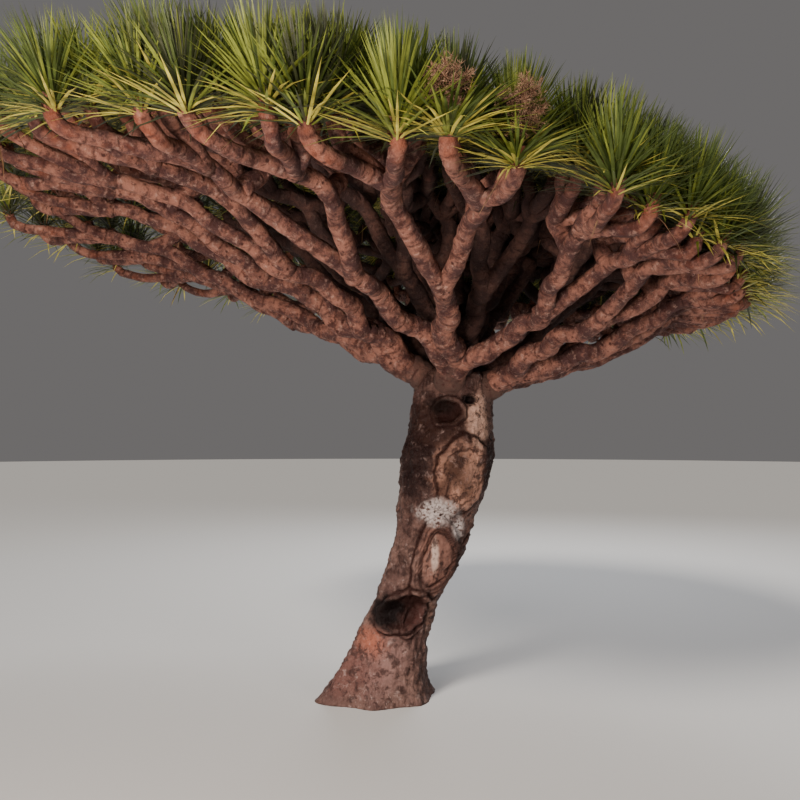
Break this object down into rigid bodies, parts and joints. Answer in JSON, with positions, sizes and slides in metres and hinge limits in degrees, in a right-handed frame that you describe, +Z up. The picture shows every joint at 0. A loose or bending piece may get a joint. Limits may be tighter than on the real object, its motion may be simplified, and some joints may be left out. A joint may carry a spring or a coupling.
{
  "type": "dragon blood tree",
  "caption": "Old dragon blood tree: short leaning trunk with healed scars, boughs fanned out like umbrella ribs, and a flat dome of stiff sword-leaf rosettes on their tips.",
  "frame": {"origin": "centre of the flat cut under the trunk, at ground level", "axes": "+Z up, -Y towards the side the tree is mostly looked at from, +X the way the trunk leans"},
  "size_m": [6.4065, 6.4732, 4.445],
  "materials": {
    "bark": "rough purplish-brown bark with pale lichen and healed scars",
    "limb_bark": "matt pinkish-brown bark with leaf-scar rings, redder towards the tips",
    "foliage": "stiff satin sword leaves, yellow-green above and darker at the base"
  },
  "bodies": {
    "root": {"trunk": "bark", "bough_mid_01": "limb_bark", "bough_mid_02": "limb_bark", "bough_mid_03": "limb_bark", "bough_mid_04": "limb_bark", "bough_mid_05": "limb_bark", "bough_mid_06": "limb_bark", "bough_mid_07": "limb_bark", "bough_mid_08": "limb_bark", "bough_mid_09": "limb_bark", "bough_rim_01": "limb_bark", "bough_rim_02": "limb_bark", "bough_rim_03": "limb_bark", "bough_rim_04": "limb_bark", "bough_rim_05": "limb_bark", "bough_rim_06": "limb_bark", "bough_rim_07": "limb_bark", "bough_rim_08": "limb_bark", "bough_rim_09": "limb_bark", "bough_rim_10": "limb_bark", "bough_rim_11": "limb_bark", "bough_rim_12": "limb_bark", "bough_rim_13": "limb_bark", "bough_rim_14": "limb_bark", "bough_rim_15": "limb_bark", "bough_top_01": "limb_bark", "bough_top_02": "limb_bark", "bough_top_03": "limb_bark", "bough_top_04": "limb_bark", "bough_top_05": "limb_bark", "foliage_mid_01": "foliage", "foliage_mid_02": "foliage", "foliage_mid_03": "foliage", "foliage_mid_04": "foliage", "foliage_mid_05": "foliage", "foliage_mid_06": "foliage", "foliage_mid_07": "foliage", "foliage_mid_08": "foliage", "foliage_mid_09": "foliage", "foliage_rim_01": "foliage", "foliage_rim_02": "foliage", "foliage_rim_03": "foliage", "foliage_rim_04": "foliage", "foliage_rim_05": "foliage", "foliage_rim_06": "foliage", "foliage_rim_07": "foliage", "foliage_rim_08": "foliage", "foliage_rim_09": "foliage", "foliage_rim_10": "foliage", "foliage_rim_11": "foliage", "foliage_rim_12": "foliage", "foliage_rim_13": "foliage", "foliage_rim_14": "foliage", "foliage_rim_15": "foliage", "foliage_top_01": "foliage", "foliage_top_02": "foliage", "foliage_top_03": "foliage", "foliage_top_04": "foliage", "foliage_top_05": "foliage"}
  },
  "joints": []
}
